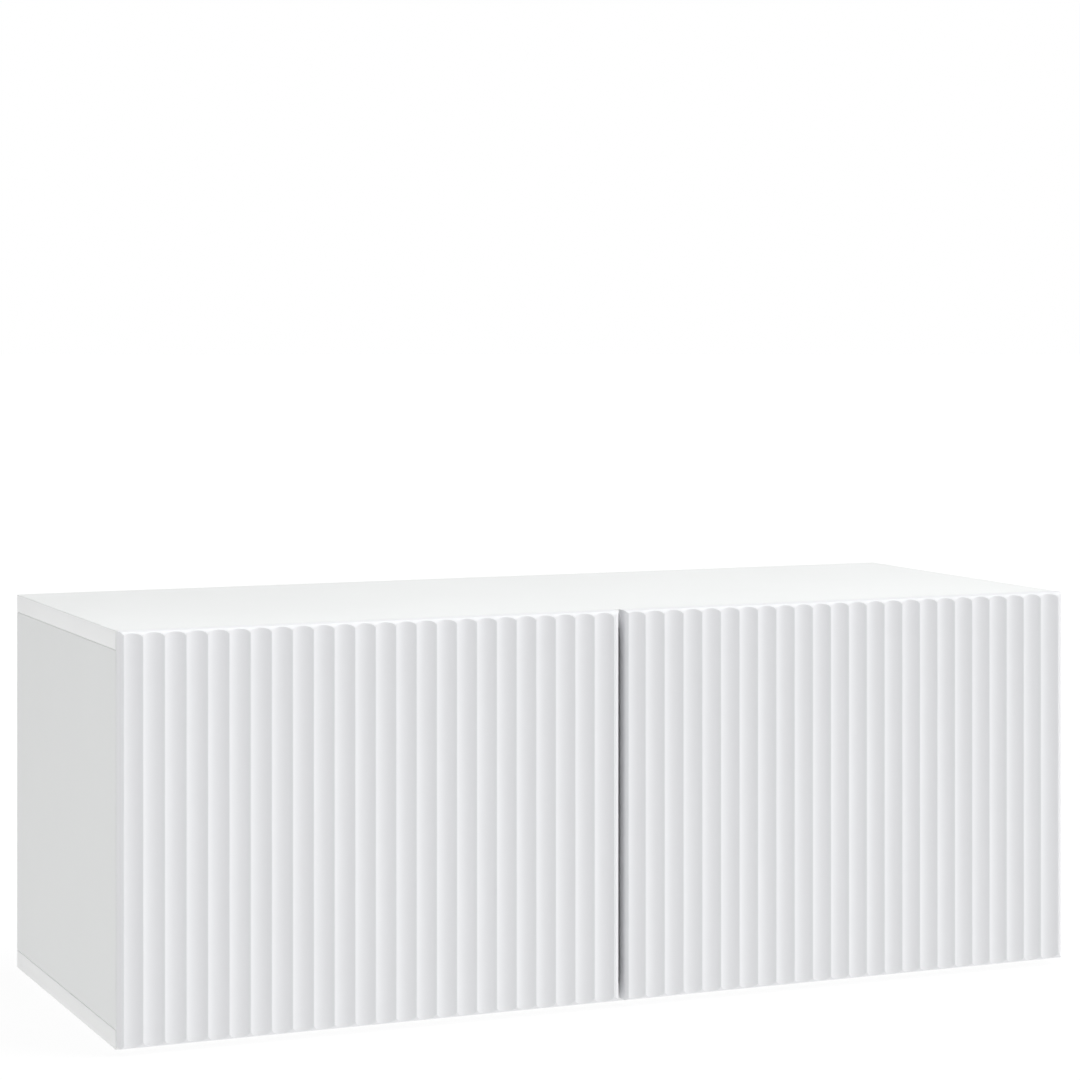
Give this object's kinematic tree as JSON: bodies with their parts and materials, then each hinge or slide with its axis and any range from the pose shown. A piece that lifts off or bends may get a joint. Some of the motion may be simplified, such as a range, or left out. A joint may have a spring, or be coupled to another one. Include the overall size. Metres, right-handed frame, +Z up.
{
  "type": "media cabinet",
  "caption": "Low white media cabinet with two side-hinged fluted doors, a divided interior, cable outlets and push latches.",
  "frame": {"origin": "middle of the footprint, on the floor", "axes": "+X to the right along the width, -Y out of the doors, +Z up"},
  "size_m": [1, 0.4, 0.385],
  "materials": {
    "white_board": "white melamine-faced board, satin",
    "white_lacquer": "white satin lacquer on milled fibreboard",
    "white_hardboard": "white painted hardboard, matt",
    "beech_dowel": "raw fluted beech",
    "nickel_steel": "nickel-plated pressed steel",
    "zinc_fitting": "die-cast zinc, dull",
    "grey_plastic": "light grey moulded plastic",
    "glide_plastic": "off-white moulded plastic"
  },
  "bodies": {
    "carcass": {"top_panel": "white_board", "bottom_panel": "white_board", "side_panel_left": "white_board", "side_panel_right": "white_board", "centre_divider": "white_board", "back_panel": "white_hardboard", "glide_front_left": "glide_plastic", "glide_front_middle": "glide_plastic", "glide_front_right": "glide_plastic", "glide_rear_left": "glide_plastic", "glide_rear_middle": "glide_plastic", "glide_rear_right": "glide_plastic", "cam_bolt_bottom_left_front": "zinc_fitting", "cam_bolt_bottom_left_rear": "zinc_fitting", "cam_bolt_bottom_right_front": "zinc_fitting", "cam_bolt_bottom_right_rear": "zinc_fitting", "cam_bolt_top_left_front": "zinc_fitting", "cam_bolt_top_left_rear": "zinc_fitting", "cam_bolt_top_right_front": "zinc_fitting", "cam_bolt_top_right_rear": "zinc_fitting", "cam_disc_bottom_left_front": "zinc_fitting", "cam_disc_bottom_left_rear": "zinc_fitting", "cam_disc_bottom_right_front": "zinc_fitting", "cam_disc_bottom_right_rear": "zinc_fitting", "cam_disc_top_left_front": "zinc_fitting", "cam_disc_top_left_rear": "zinc_fitting", "cam_disc_top_right_front": "zinc_fitting", "cam_disc_top_right_rear": "zinc_fitting", "dowel_bottom_left": "beech_dowel", "dowel_bottom_right": "beech_dowel", "dowel_top_left": "beech_dowel", "dowel_top_right": "beech_dowel", "divider_dowel_bottom_front": "beech_dowel", "divider_dowel_bottom_rear": "beech_dowel", "divider_dowel_top_front": "beech_dowel", "divider_dowel_top_rear": "beech_dowel", "hinge_plate_lower_left": "nickel_steel", "hinge_plate_lower_right": "nickel_steel", "hinge_plate_upper_left": "nickel_steel", "hinge_plate_upper_right": "nickel_steel", "hinge_arm_lower_left": "nickel_steel", "hinge_arm_lower_right": "nickel_steel", "hinge_arm_upper_left": "nickel_steel", "hinge_arm_upper_right": "nickel_steel", "latch_housing_left": "grey_plastic", "latch_housing_right": "grey_plastic"},
    "left_door": {"door_left": "white_lacquer", "hinge_cup_lower_left": "nickel_steel", "hinge_cup_upper_left": "nickel_steel", "strike_plate_left": "nickel_steel"},
    "left_links": {"hinge_link_lower_left": "nickel_steel", "hinge_link_upper_left": "nickel_steel"},
    "left_plunger": {"latch_plunger_left": "grey_plastic"},
    "right_door": {"door_right": "white_lacquer", "hinge_cup_lower_right": "nickel_steel", "hinge_cup_upper_right": "nickel_steel", "strike_plate_right": "nickel_steel"},
    "right_links": {"hinge_link_lower_right": "nickel_steel", "hinge_link_upper_right": "nickel_steel"},
    "right_plunger": {"latch_plunger_right": "grey_plastic"}
  },
  "joints": [
    {"name": "left_door_swing", "type": "hinge", "parent": "carcass", "child": "left_door", "pos_m": [-0.494, -0.194, 0.19575], "axis": [0, 0, -1], "range_deg": [0, 95]},
    {"name": "left_links_fold", "type": "hinge", "parent": "carcass", "child": "left_links", "pos_m": [-0.474, -0.184, 0.19575], "axis": [0, 0, 1], "range_deg": [0, 50]},
    {"name": "left_plunger_push", "type": "slide", "parent": "carcass", "child": "left_plunger", "axis": [0, -1, 0], "range_m": [0, 0.02]},
    {"name": "right_door_swing", "type": "hinge", "parent": "carcass", "child": "right_door", "pos_m": [0.494, -0.194, 0.19575], "axis": [0, 0, 1], "range_deg": [0, 95]},
    {"name": "right_links_fold", "type": "hinge", "parent": "carcass", "child": "right_links", "pos_m": [0.474, -0.184, 0.19575], "axis": [0, 0, -1], "range_deg": [0, 50]},
    {"name": "right_plunger_push", "type": "slide", "parent": "carcass", "child": "right_plunger", "axis": [0, -1, 0], "range_m": [0, 0.02]}
  ],
  "couplings": [
    {"joint": "left_links_fold", "follows": "left_door_swing", "ratio": 0.516},
    {"joint": "left_plunger_push", "follows": "left_door_swing", "m_per_rad": 0.012},
    {"joint": "right_links_fold", "follows": "right_door_swing", "ratio": 0.516},
    {"joint": "right_plunger_push", "follows": "right_door_swing", "m_per_rad": 0.012}
  ]
}
